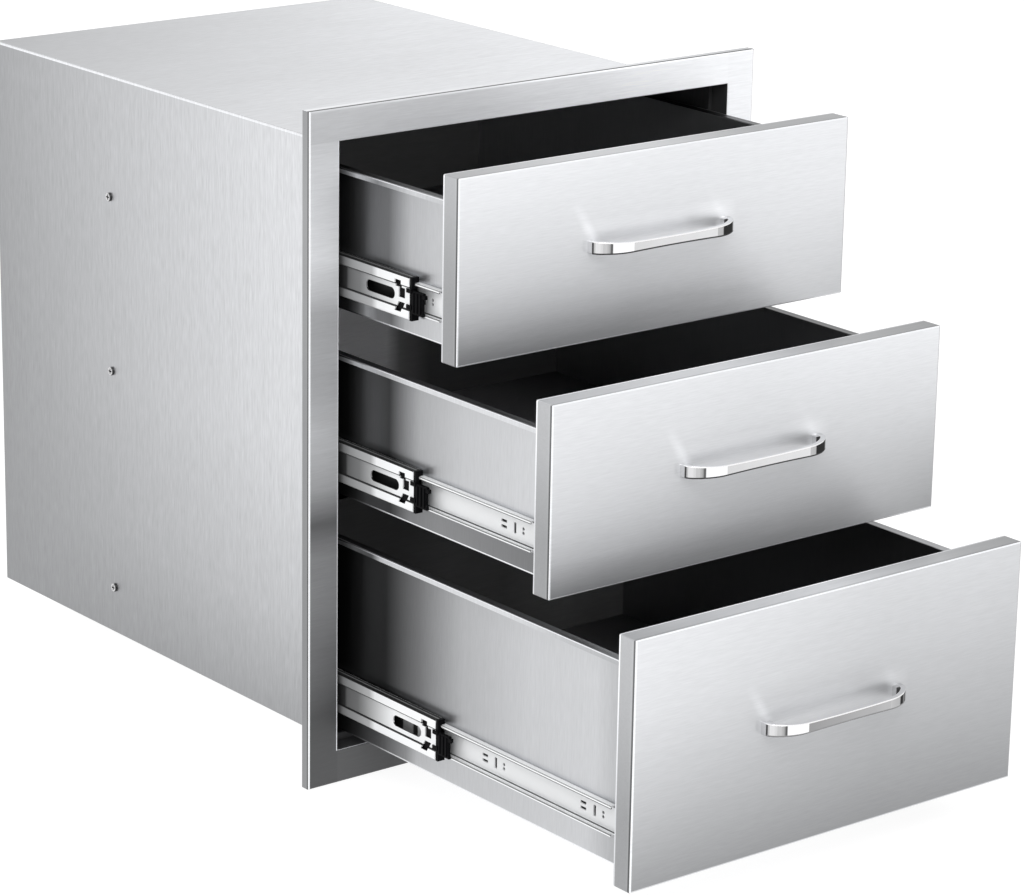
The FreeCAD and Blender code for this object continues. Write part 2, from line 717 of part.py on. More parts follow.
def check():
    """Stops before anything is written if an object failed or a cut removed nothing."""
    for thing in doc.Objects:
        if "Invalid" in thing.State or "Error" in thing.State:
            raise RuntimeError(f"{thing.Name} failed: {thing.State}")
    for piece in pieces:
        if piece.Shape.isNull() or not piece.Shape.isValid():
            raise RuntimeError(f"{piece.Label} has no valid shape")
    for feature, base in cuts:
        if feature.Shape.Volume >= base.Shape.Volume - 0.1:
            raise RuntimeError(f"{feature.Name} of {feature.getParentGeoFeatureGroup().Label} cuts nothing")


build()
check()
os.makedirs("parts", exist_ok=True)
for piece in pieces:
    piece.Shape.exportStep(f"parts/{piece.Label}.step")
    print(piece.Label, len(piece.Shape.Solids), round(piece.Shape.Volume), piece.Shape.BoundBox)
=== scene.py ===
import math

import bpy
from mathutils import Matrix, Vector


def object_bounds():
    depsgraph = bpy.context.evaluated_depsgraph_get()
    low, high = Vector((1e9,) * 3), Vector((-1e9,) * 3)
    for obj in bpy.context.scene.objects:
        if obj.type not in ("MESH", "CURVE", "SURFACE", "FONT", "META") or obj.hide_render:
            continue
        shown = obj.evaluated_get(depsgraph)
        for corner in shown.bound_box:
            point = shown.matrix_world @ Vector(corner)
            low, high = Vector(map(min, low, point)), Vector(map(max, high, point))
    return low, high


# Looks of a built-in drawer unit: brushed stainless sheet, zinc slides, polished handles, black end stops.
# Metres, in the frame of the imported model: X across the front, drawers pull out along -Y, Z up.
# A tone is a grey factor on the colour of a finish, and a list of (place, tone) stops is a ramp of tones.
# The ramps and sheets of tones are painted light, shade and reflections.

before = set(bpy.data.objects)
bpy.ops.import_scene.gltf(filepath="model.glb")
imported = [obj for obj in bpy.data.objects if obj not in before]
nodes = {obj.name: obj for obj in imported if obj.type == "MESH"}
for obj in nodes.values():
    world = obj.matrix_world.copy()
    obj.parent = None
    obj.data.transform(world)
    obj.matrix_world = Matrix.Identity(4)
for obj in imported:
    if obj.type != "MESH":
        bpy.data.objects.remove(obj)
cad_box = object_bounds()

DRAWERS = ("top", "centre", "bottom")
SIDES = (("left", -1), ("right", 1))

# Camera, at the photograph's angle
IMAGE_WIDTH = 1024
SENSOR_WIDTH = 36.0
FOCAL_PIXELS = 3866
CLIP_END = 100
CAMERA_AT = Vector((-2.009, -2.492, 1.194))
CAMERA_YAW = math.radians(38.63)
CAMERA_PITCH = math.radians(-16.85)
CAMERA_ROLL = math.radians(0.983)

# Light, floor and backdrop
FLOOR_SIZE = 16.0
FLOOR_GAP = 0.0005
FLOOR_COLOUR = (0.2, 0.2, 0.2)
FLOOR_MOTTLE = (3, 3, 3)
FLOOR_MOTTLE_TONE = (0.98, 1.0)
FLOOR_ROUGHNESS = 0.8
FLOOR_SHEEN = 0.1
FLOOR_GLOW = 0.88
SKY = [(-1.0, 0.9), (0.0, 0.9), (0.35, 0.95), (1.0, 1.25)]
KEY_AT = (-1.6, -2.2, 2.6)
KEY_AIM = (0, 0, 0.25)
KEY_SIZE = (2.2, 1.6)
KEY_POWER = 40

# Colours of the finishes
STEEL = (0.873, 0.884, 0.908)
# Steel darkened as painted shade for the insides of the boxes
SHADED_BOX_STEEL = (0.42, 0.42, 0.435)
# White under the painted light and shade of the box backs
WHITE = (1.0, 1.0, 1.0)
SCREW_STEEL = (0.82, 0.82, 0.83)
CHROME = (0.95, 0.95, 0.96)
ZINC = (0.88, 0.89, 0.9)
BLACK = (0.003, 0.003, 0.0035)

# What of a noise's range is used, and how far along an axis a normal has to point to face that way
NOISE_MIDDLE = (0.3, 0.7)
FACING_FROM = 0.5

# Grain of brushed sheet: features per metre along and across the scratches, and how far each moves the look
FINE_GRAIN = (70, 1100)
BROAD_GRAIN = (12, 300)
CLOUDS = (5, 5, 5)
CLOUD_TONE = 0.015
STREAK_ROUGH = 0.1
CLOUD_ROUGH = 0.05
GRAIN_PULL = 0.6
GRAIN_BUMP = 0.05
GRAIN_DEPTH = 0.0002

# Smudges and marks of polished and plated metal
MARKS = (60, 60, 60)
SPECKS = (900, 900, 900)
MARKS_ROUGH = (0.8, 1.3)
# Under this tone a painted dark reflection is made non-metallic, so that it stays dark at a glancing angle
MIRRORED_DARK = 0.25
SPECK_BUMP = 0.02
SPECK_DEPTH = 0.0001

# Moulded grain of the plastic stops
SCUFFS = (90, 90, 90)
MOULD_GRAIN = (1800, 1800, 1800)
SCUFF_TONE = (0.7, 1.4)
SCUFF_ROUGH = (0.8, 1.2)
PLASTIC_SHEEN = 0.04
MOULD_BUMP = 0.2
MOULD_DEPTH = 0.0001


def new_material(name):
    """An empty node material and its Principled shader."""
    material = bpy.data.materials.new(name)
    material.use_nodes = True
    return material, material.node_tree, material.node_tree.nodes["Principled BSDF"]


def add(tree, kind, **settings):
    node = tree.nodes.new(kind)
    for name, value in settings.items():
        setattr(node, name, value)
    return node


def plug(tree, socket, value):
    """Sets a socket to a number, or links it to another socket."""
    if isinstance(value, (int, float)):
        socket.default_value = value
    else:
        tree.links.new(value, socket)


def maths(tree, operation, first, second=0.0):
    node = add(tree, "ShaderNodeMath", operation=operation)
    plug(tree, node.inputs[0], first)
    plug(tree, node.inputs[1], second)
    return node.outputs[0]


def less(tree, value, limit):
    """1 where the value is under the limit."""
    return maths(tree, "LESS_THAN", value, limit)


def more(tree, value, limit):
    """1 where the value is over the limit."""
    return maths(tree, "GREATER_THAN", value, limit)


def minus(tree, first, second):
    return maths(tree, "SUBTRACT", first, second)


def size_of(tree, value):
    return maths(tree, "ABSOLUTE", value)


def product(tree, *values):
    total = values[0]
    for value in values[1:]:
        total = maths(tree, "MULTIPLY", total, value)
    return total


def between(tree, weight, first, second):
    """first where weight is 0, second where it is 1."""
    node = add(tree, "ShaderNodeMix", data_type="FLOAT")
    plug(tree, node.inputs[0], weight)
    plug(tree, node.inputs[2], first)
    plug(tree, node.inputs[3], second)
    return node.outputs[0]


def object_point(tree):
    return add(tree, "ShaderNodeTexCoord").outputs["Object"]


def world_point(tree):
    return add(tree, "ShaderNodeNewGeometry").outputs["Position"]


def surface_normal(tree):
    return add(tree, "ShaderNodeNewGeometry").outputs["True Normal"]


def part_of(tree, vector, axis):
    node = add(tree, "ShaderNodeSeparateXYZ")
    tree.links.new(vector, node.inputs[0])
    return node.outputs[axis]


def places(tree):
    """The X, Y and Z of a point of the piece, as it stands at rest."""
    point = object_point(tree)
    return [part_of(tree, point, axis) for axis in "XYZ"]


def facing(tree, axis, sign):
    """1 where the surface faces the given way along an axis, 0 elsewhere."""
    side = part_of(tree, surface_normal(tree), axis)
    return more(tree, product(tree, side, sign), FACING_FROM)


def near_edge(tree, value, edge, width):
    """1 within a line's width of a place on an axis."""
    return less(tree, size_of(tree, minus(tree, value, edge)), width)


def noise(tree, scale, detail=2.0, roughness=0.5):
    """Noise from 0 to 1 in object space, with its own number of features per metre on each axis."""
    mapping = add(tree, "ShaderNodeMapping")
    mapping.inputs["Scale"].default_value = scale
    tree.links.new(object_point(tree), mapping.inputs["Vector"])
    texture = add(tree, "ShaderNodeTexNoise")
    texture.inputs["Scale"].default_value = 1.0
    texture.inputs["Detail"].default_value = detail
    texture.inputs["Roughness"].default_value = roughness
    tree.links.new(mapping.outputs["Vector"], texture.inputs["Vector"])
    return texture.outputs["Fac"]


def spread(tree, value, low, high):
    """The middle of a noise's range, moved to run from low to high."""
    node = add(tree, "ShaderNodeMapRange")
    first, last = NOISE_MIDDLE
    for name, number in (("From Min", first), ("From Max", last), ("To Min", low), ("To Max", high)):
        node.inputs[name].default_value = number
    tree.links.new(value, node.inputs["Value"])
    return node.outputs["Result"]


def share(tree, value, first, last):
    """0 at the first place, 1 at the last, and straight between them."""
    node = add(tree, "ShaderNodeMapRange")
    node.inputs["From Min"].default_value = first
    node.inputs["From Max"].default_value = last
    tree.links.new(value, node.inputs["Value"])
    return node.outputs["Result"]


def ramp(tree, value, stops):
    """Straight runs between (place, tone) stops."""
    first, last = stops[0][0], stops[-1][0]
    scaled = share(tree, value, first, last)
    colours = add(tree, "ShaderNodeValToRGB")
    elements = colours.color_ramp.elements
    while len(elements) < len(stops):
        elements.new(0.5)
    for element, (place, tone) in zip(elements, stops):
        element.position = (place - first) / (last - first)
        element.color = (tone, tone, tone, 1)
    tree.links.new(scaled, colours.inputs[0])
    return colours.outputs[0]


def sheet(tree, across, along, columns):
    """Tones over a panel: ramps along it at two or more places across, blended from one to the next."""
    last, stops = columns[0]
    tone = ramp(tree, along, stops)
    for place, stops in columns[1:]:
        tone = between(tree, share(tree, across, last, place), tone, ramp(tree, along, stops))
        last = place
    return tone


def tinted(tree, colour, factor):
    """A colour times a grey factor."""
    node = add(tree, "ShaderNodeMix", data_type="RGBA", blend_type="MULTIPLY")
    node.inputs[0].default_value = 1.0
    node.inputs[6].default_value = (*colour, 1)
    tree.links.new(factor, node.inputs[7])
    return node.outputs[2]


def bump(tree, shader, height, strength, distance):
    node = add(tree, "ShaderNodeBump")
    node.inputs["Strength"].default_value = strength
    node.inputs["Distance"].default_value = distance
    tree.links.new(height, node.inputs["Height"])
    tree.links.new(node.outputs["Normal"], shader.inputs["Normal"])


def stretched(grain, axis):
    """A scale for each axis: the grain's first number on its own axis, the second on the others."""
    along, across = grain
    return tuple(along if name == axis else across for name in "XYZ")


def brushed(name, colour, axis, roughness, tone=None, streak=0.035, metallic=1.0):
    """Brushed sheet: fine and broad scratches along one axis, soft clouds of tone, and a matching bump.

    tone takes the node tree and gives the socket of the slow changes of brightness over the panel: painted
    light, shade and reflection.
    """
    material, tree, shader = new_material(name)
    fine = noise(tree, stretched(FINE_GRAIN, axis), detail=2.0)
    broad = noise(tree, stretched(BROAD_GRAIN, axis), detail=2.0)
    clouds = noise(tree, CLOUDS, detail=1.0)
    tones = [spread(tree, fine, 1 - 2 * streak, 1 + 2 * streak),
             spread(tree, broad, 1 - streak, 1 + streak),
             spread(tree, clouds, 1 - CLOUD_TONE, 1 + CLOUD_TONE)]
    if tone:
        tones.append(tone(tree))
    tree.links.new(tinted(tree, colour, product(tree, *tones)), shader.inputs["Base Color"])
    rough = product(tree, spread(tree, broad, 1 - STREAK_ROUGH, 1 + STREAK_ROUGH),
                    spread(tree, clouds, roughness * (1 - CLOUD_ROUGH), roughness * (1 + CLOUD_ROUGH)))
    tree.links.new(rough, shader.inputs["Roughness"])
    shader.inputs["Metallic"].default_value = metallic
    shader.inputs["Anisotropic"].default_value = GRAIN_PULL
    grain = add(tree, "ShaderNodeTangent", direction_type="RADIAL", axis=axis)
    tree.links.new(grain.outputs[0], shader.inputs["Tangent"])
    bump(tree, shader, maths(tree, "ADD", fine, broad), GRAIN_BUMP, GRAIN_DEPTH)
    return material


def smooth_metal(name, colour, roughness, smudge, tone=None, metallic=1.0, specular=0.5, mirrored=False):
    """Polished or plated metal with faint smudges and fine random marks.

    mirrored: where the tone paints a dark reflection, it stays dark at a glancing angle too, as a mirrored
    dark room does.
    """
    material, tree, shader = new_material(name)
    marks = noise(tree, MARKS, detail=4.0)
    specks = noise(tree, SPECKS, detail=2.0)
    tones = [spread(tree, marks, 1 - smudge, 1.0)]
    if tone:
        tones.append(tone(tree))
    tree.links.new(tinted(tree, colour, product(tree, *tones)), shader.inputs["Base Color"])
    smoothest, roughest = MARKS_ROUGH
    rough = spread(tree, marks, roughness * smoothest, roughness * roughest)
    tree.links.new(rough, shader.inputs["Roughness"])
    shader.inputs["Metallic"].default_value = metallic
    if mirrored:
        tree.links.new(more(tree, tones[-1], MIRRORED_DARK), shader.inputs["Metallic"])
    shader.inputs["Specular IOR Level"].default_value = specular
    bump(tree, shader, specks, SPECK_BUMP, SPECK_DEPTH)
    return material


def moulded_plastic(name, colour, roughness):
    """Black moulded plastic with a fine grain and scuffed tone."""
    material, tree, shader = new_material(name)
    scuffs = noise(tree, SCUFFS, detail=4.0)
    grain = noise(tree, MOULD_GRAIN, detail=2.0)
    tree.links.new(tinted(tree, colour, spread(tree, scuffs, *SCUFF_TONE)), shader.inputs["Base Color"])
    smoothest, roughest = SCUFF_ROUGH
    rough = spread(tree, scuffs, roughness * smoothest, roughness * roughest)
    tree.links.new(rough, shader.inputs["Roughness"])
    shader.inputs["Specular IOR Level"].default_value = PLASTIC_SHEEN
    bump(tree, shader, grain, MOULD_BUMP, MOULD_DEPTH)
    return material


def paint(node, material):
    """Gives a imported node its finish."""
    mesh = nodes[node].data
    mesh.materials.clear()
    mesh.materials.append(material)


# Half width of a painted highlight or shade line along a folded edge, and painted shade that several pieces
# share: on inner faces, and deeper on sheet edges turned to the front and on the opening's right inner face
LINE = 0.0013
INSIDE_SHADE = 0.45
DEEP_SHADE = 0.04

# Painted shade: a case side grows darker towards its back and foot, the case top towards its left back
# corner
CASE_HALF = 0.2065
CASE_TALL = 0.518
CASE_REAR = 0.53
CASE_SIDE = [(0.05, [(0.0, 0.4), (0.1, 0.59), (0.25, 0.75), (0.5, 0.82)]),
             (CASE_REAR, [(0.0, 0.34), (0.25, 0.38), (0.5, 0.43)])]
CASE_TOP = [(-CASE_HALF, [(0.0, 0.86), (CASE_REAR, 0.5)]),
            (CASE_HALF, [(0.0, 0.95), (0.2, 0.94), (CASE_REAR, 0.85)])]
# Painted shade on the insides of the case: floor and top darker towards the front, the right side's inner
# face darker than the left's, and the back's outer face a little darker
CASE_LEVEL_INSIDE = [(0.0, 0.03), (0.1, 0.05), (0.2, 0.3), (CASE_REAR, INSIDE_SHADE)]
CASE_RIGHT_INSIDE = 0.12
CASE_BACK_OUTSIDE = 0.8
# Half width of the painted highlight along the top edge of each side
CASE_SIDE_LINE = 0.0022
CASE_ROUGHNESS = 0.38


# Painted light and shade on a case side, a painted highlight along its top edge, painted shade inside and on
# its front edge
def case_side_tone(sign):
    def tone(tree):
        _, along, up = places(tree)
        outside = sheet(tree, along, up, CASE_SIDE)
        outside = between(tree, near_edge(tree, up, CASE_TALL, CASE_SIDE_LINE), outside, 1.0)
        inside = INSIDE_SHADE if sign < 0 else CASE_RIGHT_INSIDE
        inside = between(tree, facing(tree, "Y", -1), inside, DEEP_SHADE)
        return between(tree, facing(tree, "X", sign), inside, outside)
    return tone


# Painted light and shade on the case top and floor, painted highlights along their side edges, painted shade
# inside and on their front edges
def case_level_tone(sign):
    """The top of the case with sign 1, its floor with -1."""
    def tone(tree):
        across, along, _ = places(tree)
        outside = sheet(tree, across, along, CASE_TOP)
        outside = between(tree, near_edge(tree, size_of(tree, across), CASE_HALF, LINE), outside, 1.0)
        inside = between(tree, facing(tree, "Y", -1), ramp(tree, along, CASE_LEVEL_INSIDE), DEEP_SHADE)
        return between(tree, facing(tree, "Z", sign), inside, outside)
    return tone


# Painted shade on the inner face of the case back, and a little on its outer face
def case_back_tone(tree):
    return between(tree, facing(tree, "Y", 1), INSIDE_SHADE, CASE_BACK_OUTSIDE)


# The fronts: half width, and for each the face's place along Y, its foot and its height
FRONT_HALF = 0.2075
FRONT_AT = {"top": -0.1655, "centre": -0.2865, "bottom": -0.3925}
FRONT_FOOT = {"top": 0.3676, "centre": 0.207, "bottom": -0.003}
FRONT_TALL = {"top": 0.1532, "centre": 0.1586, "bottom": 0.208}

# Painted light and reflection: the faces are bright at the top and fade in painted shade towards the foot,
# each in its own way from left to right
FRONT = {
    "top": [(-FRONT_HALF, [(0.0, 0.3), (0.03, 0.57), (0.06, 0.7), (0.153, 0.91)]),
            (-0.03, [(0.0, 0.42), (0.04, 0.66), (0.09, 0.78), (0.153, 0.89)]),
            (0.1, [(0.0, 0.76), (0.05, 0.79), (0.153, 0.87)]),
            (FRONT_HALF, [(0.0, 0.6), (0.05, 0.73), (0.1, 0.84), (0.153, 0.89)])],
    "centre": [(-FRONT_HALF, [(0.0, 0.33), (0.03, 0.68), (0.09, 0.77), (0.159, 0.85)]),
               (0.0, [(0.0, 0.44), (0.03, 0.59), (0.06, 0.62), (0.159, 0.82)]),
               (0.12, [(0.0, 0.52), (0.05, 0.6), (0.159, 0.86)]),
               (FRONT_HALF, [(0.0, 0.35), (0.06, 0.57), (0.1, 0.73), (0.159, 0.88)])],
    "bottom": [(-FRONT_HALF, [(0.0, 0.34), (0.065, 0.55), (0.15, 0.78), (0.208, 0.84)]),
               (0.05, [(0.0, 0.3), (0.065, 0.43), (0.15, 0.61), (0.208, 0.7)]),
               (FRONT_HALF, [(0.0, 0.32), (0.065, 0.45), (0.208, 0.7)])],
}
# Painted lines along a face: a lighter line along the foot, painted highlights along the left and top edges,
# and a painted shade line along the right edge
FOOT_LINE = 0.0014
FOOT_TONE = 0.75
LEFT_LINE = 0.0018
RIGHT_TONE = 0.4

# Painted light and shade on the returns of a front: side ones by height, the top one from left to right,
# both by depth behind the face, with painted shade at the fold and a painted highlight at the back edge
RETURN_UP = {
    "top": [(0.0, 0.34), (0.05, 0.36), (0.153, 0.52)],
    "centre": [(0.0, 0.35), (0.05, 0.36), (0.12, 0.5), (0.159, 0.53)],
    "bottom": [(0.0, 0.36), (0.06, 0.36), (0.15, 0.5), (0.208, 0.53)],
}
RETURN_DEPTH = [(0.0, 0.3), (0.0022, 0.3), (0.0028, 1.1), (0.005, 1.0), (0.0178, 1.0), (0.0182, 2.2),
                (0.0195, 2.2)]
TOP_RETURN = {
    "top": [(-FRONT_HALF, 0.42), (-0.1, 0.6), (0.0, 0.62), (0.11, 0.37), (FRONT_HALF, 0.37)],
    "centre": [(-FRONT_HALF, 0.57), (-0.1, 0.77), (-0.03, 0.76), (0.11, 0.4), (FRONT_HALF, 0.29)],
    "bottom": [(-FRONT_HALF, 0.46), (-0.1, 0.74), (0.0, 0.84), (0.14, 0.4), (FRONT_HALF, 0.31)],
}
TOP_DEPTH = [(0.0, 0.7), (0.0022, 0.75), (0.003, 1.0), (0.0176, 1.0), (0.0182, 1.7), (0.0195, 1.7)]

# Light thrown on a front by its handle: a soft glow above the bar and a slanting glint above each foot
HANDLE_LEVEL = {"top": 0.4477, "centre": 0.2898, "bottom": 0.1045}
BY_HANDLE = [(0.0, 1.0), (0.065, 1.0), (0.085, 0.0), (0.3, 0.0)]
OVER_HANDLE = [(-0.01, 0.0), (0.0, 1.0), (0.012, 1.0), (0.022, 0.0), (0.1, 0.0)]
HANDLE_LIFT = 0.2
GLINTS = ((-0.066, 1.0), (0.072, 0.2))
GLINT_SLANT = 0.6
GLINT_ACROSS = [(0.0, 1.0), (0.003, 0.7), (0.007, 0.0), (0.5, 0.0)]
GLINT_RISE = [(-0.1, 0.0), (0.002, 0.0), (0.006, 1.0), (0.015, 0.8), (0.04, 0.0), (0.3, 0.0)]
GLINT_LIFT = 0.25


def glint(tree, across, rise):
    """The streaks above the feet: strongest along their middle, fading to their sides and upwards."""
    slanted = maths(tree, "ADD", across, product(tree, rise, GLINT_SLANT))
    streaks = []
    for foot, strength in GLINTS:
        aside = size_of(tree, minus(tree, slanted, foot))
        streaks.append(product(tree, strength, ramp(tree, aside, GLINT_ACROSS)))
    return product(tree, maths(tree, "MAXIMUM", *streaks), ramp(tree, rise, GLINT_RISE))


def handle_light(tree, across, rise):
    """How much brighter the face is for the light of its handle."""
    glow = product(tree, ramp(tree, size_of(tree, across), BY_HANDLE), ramp(tree, rise, OVER_HANDLE))
    lift = maths(tree, "ADD", product(tree, glow, HANDLE_LIFT),
                 product(tree, glint(tree, across, rise), GLINT_LIFT))
    return maths(tree, "ADD", lift, 1.0)


def front_tone(drawer):
    def tone(tree):
        across, along, up = places(tree)
        height = minus(tree, up, FRONT_FOOT[drawer])
        depth = minus(tree, along, FRONT_AT[drawer])
        rise = minus(tree, up, HANDLE_LEVEL[drawer])
        face = product(tree, sheet(tree, across, height, FRONT[drawer]), handle_light(tree, across, rise))
        face = between(tree, near_edge(tree, height, 0, FOOT_LINE), face, FOOT_TONE)
        rim = maths(tree, "MAXIMUM", near_edge(tree, across, -FRONT_HALF, LEFT_LINE),
                    near_edge(tree, height, FRONT_TALL[drawer], LINE))
        face = between(tree, rim, face, 1.0)
        face = between(tree, near_edge(tree, across, FRONT_HALF, LINE), face, RIGHT_TONE)
        side = product(tree, ramp(tree, height, RETURN_UP[drawer]), ramp(tree, depth, RETURN_DEPTH))
        top = product(tree, ramp(tree, across, TOP_RETURN[drawer]), ramp(tree, depth, TOP_DEPTH))
        fold = between(tree, facing(tree, "Z", 1), side, top)
        return between(tree, facing(tree, "Y", -1), fold, face)
    return tone


# The slides: level, then by member its edge and fold above or below that level, and its depth off the wall
RAIL_LEVEL = {"top": 0.4086, "centre": 0.2485, "bottom": 0.0435}
WALL_INNER = 0.2055
RAIL_EDGE = {"case_rail": 0.0225, "link_rail": 0.0176, "drawer_rail": 0.0132}
RAIL_FOLD = {"case_rail": 0.0201, "link_rail": 0.0094, "drawer_rail": 0.0108}
RAIL_DEPTH = {"case_rail": 0.0095, "link_rail": 0.011, "drawer_rail": 0.0127}

# The box: outer face of its sides, line along its lip, top, foot
BOX_HALF = 0.1928
LIP_FROM = BOX_HALF + 0.001
LIP_LINE_AT = 0.1996
BOX_TOP = {"top": 0.4978, "centre": 0.3397, "bottom": 0.1798}
BOX_FOOT = {"top": 0.3761, "centre": 0.2155, "bottom": 0.0055}

# Painted light and shade on the box sides above and below the slide, and on their lips, by how far they
# stand out of the case along -Y: bright in the open and dark at the mouth
BOX_HIGH = {
    "top": [(-0.146, 0.66), (-0.085, 0.54), (-0.055, 0.19), (-0.026, 0.22), (0.0, 0.1)],
    "centre": [(-0.267, 0.7), (-0.16, 0.61), (-0.1, 0.45), (-0.058, 0.05), (-0.026, 0.15), (0.0, 0.04)],
    "bottom": [(-0.373, 0.47), (-0.33, 0.66), (-0.25, 0.63), (-0.16, 0.475), (-0.1, 0.18), (-0.055, 0.03),
               (-0.026, 0.055), (0.0, 0.03)],
}
BOX_LOW = {
    "top": [(-0.146, 0.69), (-0.08, 0.55), (-0.06, 0.2), (-0.04, 0.3), (-0.025, 0.8), (0.0, 0.1)],
    "centre": [(-0.267, 0.2), (-0.13, 0.27), (-0.085, 0.24), (-0.06, 0.06), (-0.026, 0.13), (0.0, 0.05)],
    "bottom": [(-0.373, 0.39), (-0.32, 0.65), (-0.1, 0.55), (-0.085, 0.33), (-0.055, 0.2), (0.0, 0.06)],
}
LIP = {
    "top": [(-0.146, 0.62), (-0.1, 0.7), (-0.05, 0.28), (-0.012, 0.9), (0.0, 0.6)],
    "centre": [(-0.267, 0.78), (-0.1, 0.75), (-0.06, 0.46), (-0.012, 0.9), (0.0, 0.6)],
    "bottom": [(-0.373, 0.5), (-0.3, 0.58), (-0.22, 0.76), (-0.058, 0.7), (-0.046, 0.12), (-0.025, 0.18),
               (0.0, 0.4)],
}
# Painted shade on the top face of each lip
LIP_TOP = {
    "top": [(-0.146, 0.1), (-0.02, 0.08), (0.0, 0.02)],
    "centre": [(-0.267, 0.12), (-0.12, 0.14), (-0.05, 0.09), (0.0, 0.02)],
    "bottom": [(-0.373, 0.42), (-0.28, 0.4), (-0.2, 0.16), (-0.1, 0.1), (0.0, 0.02)],
}
# Painted shade on the inner faces of the box sides, by where they stand along -Y
BOX_INSIDE = [(-0.37, 0.06), (-0.25, 0.12), (-0.1, 0.2), (0.0, 0.25), (0.15, 0.5), (0.29, 0.7)]
EDGE_LIGHT = [(-0.4, 1.0), (-0.06, 0.95), (-0.03, 0.4), (0.0, 0.05)]
# Painted shade behind the slide and its half height, half widths of the painted highlight lines along the
# foot and top edge of a side and of the lighter painted line on the lip's top face, and that line's tone
SHADE_BEHIND_SLIDE = 0.02
BEHIND_HALF = RAIL_EDGE["drawer_rail"] - 0.001
BOX_FOOT_LINE = 0.0011
BOX_TOP_LINE = 0.0009
LIP_LINE = 0.0005
LIP_LINE_TONE = 0.4


def box_side_tone(drawer, sign):
    """Painted light and shade: bright outside, dark inside and behind the slide, with a bright lip along the
    top and painted highlight lines along its edges.
    """
    def tone(tree):
        across, _, up = places(tree)
        aside = size_of(tree, across)
        along = part_of(tree, world_point(tree), "Y")
        edge_light = ramp(tree, along, EDGE_LIGHT)
        outside = between(tree, more(tree, up, RAIL_LEVEL[drawer]),
                          ramp(tree, along, BOX_LOW[drawer]), ramp(tree, along, BOX_HIGH[drawer]))
        outside = between(tree, near_edge(tree, up, RAIL_LEVEL[drawer], BEHIND_HALF), outside, SHADE_BEHIND_SLIDE)
        outside = between(tree, near_edge(tree, up, BOX_FOOT[drawer], BOX_FOOT_LINE), outside, edge_light)
        lip = between(tree, near_edge(tree, up, BOX_TOP[drawer], BOX_TOP_LINE),
                      ramp(tree, along, LIP[drawer]), edge_light)
        outside = between(tree, more(tree, aside, LIP_FROM), outside, lip)
        top = between(tree, near_edge(tree, aside, LIP_LINE_AT, LIP_LINE),
                      ramp(tree, along, LIP_TOP[drawer]), LIP_LINE_TONE)
        level = between(tree, facing(tree, "Z", 1), ramp(tree, along, BOX_INSIDE), top)
        return between(tree, facing(tree, "X", sign), level, outside)
    return tone


# Painted light and shade on the slides, by how far they stand out of the case too. The drawer rail is
# painted bright before the link's mouth and painted near black inside the link, where bright painted bands
# stand for parts of the cage showing through the slot of the bottom drawer's link
LINK_MOUTH = {"top": -0.0965, "centre": -0.1042, "bottom": -0.1375}
RAIL_OUT = (-0.4, 0.8)
RAIL_NEAR = {"top": 1.05, "centre": 0.86, "bottom": 0.86}
RAIL_NEAR_FROM = 0.05
RAIL_MOUTH_SHADE = 0.9
RAIL_MOUTH_STEP = 0.001
SHADE_IN_LINK = 0.02
CAGE_SHOWN = [(-0.1112, SHADE_IN_LINK), (-0.1106, 0.8), (-0.1027, 0.8), (-0.1021, SHADE_IN_LINK),
              (-0.0958, SHADE_IN_LINK), (-0.0952, 0.35), (-0.0828, 0.35), (-0.0822, SHADE_IN_LINK)]
# Painted shade along the bands and webs of the case and link rails, darkest at the mouth of the case
BAND_SHADE = [(-0.08, 1.0), (-0.055, 0.95), (-0.047, 0.5), (-0.01, 0.3), (0.0, 0.1)]
WEB_SHADE = [(-0.08, 0.95), (-0.05, 0.5), (-0.03, 0.22), (-0.014, 0.18), (-0.011, 0.05), (0.0, 0.03)]
# A painted shade line along each fold, and painted highlight lines inside the edge and just out from the
# fold
FOLD_LINE = 0.0006
FOLD_TONE = 0.08
EDGE_LINE_IN = 0.0008
EDGE_LINE = 0.0007
FOLD_GLEAM_OUT = 0.0012
FOLD_GLEAM = 0.0005
# Painted tones on the flange tops: light on the drawer rail, shade on the case rail and darker shade on the
# link rail, with a grey painted line along each and a painted highlight at its rim
FLANGE = {"case_rail": 0.3, "link_rail": 0.025, "drawer_rail": 1.0}
FLANGE_LINE_AT = 0.0065
FLANGE_LINE = 0.0006
FLANGE_LINE_TONE = 0.3
FLANGE_RIM = 0.0012


def along_drawer_rail(drawer):
    mouth, near = LINK_MOUTH[drawer], RAIL_NEAR[drawer]
    shown = CAGE_SHOWN if drawer == "bottom" else []
    return [RAIL_OUT, (mouth - RAIL_NEAR_FROM, near), (mouth - RAIL_MOUTH_STEP, near * RAIL_MOUTH_SHADE),
            (mouth, SHADE_IN_LINK), *shown, (0.0, SHADE_IN_LINK)]


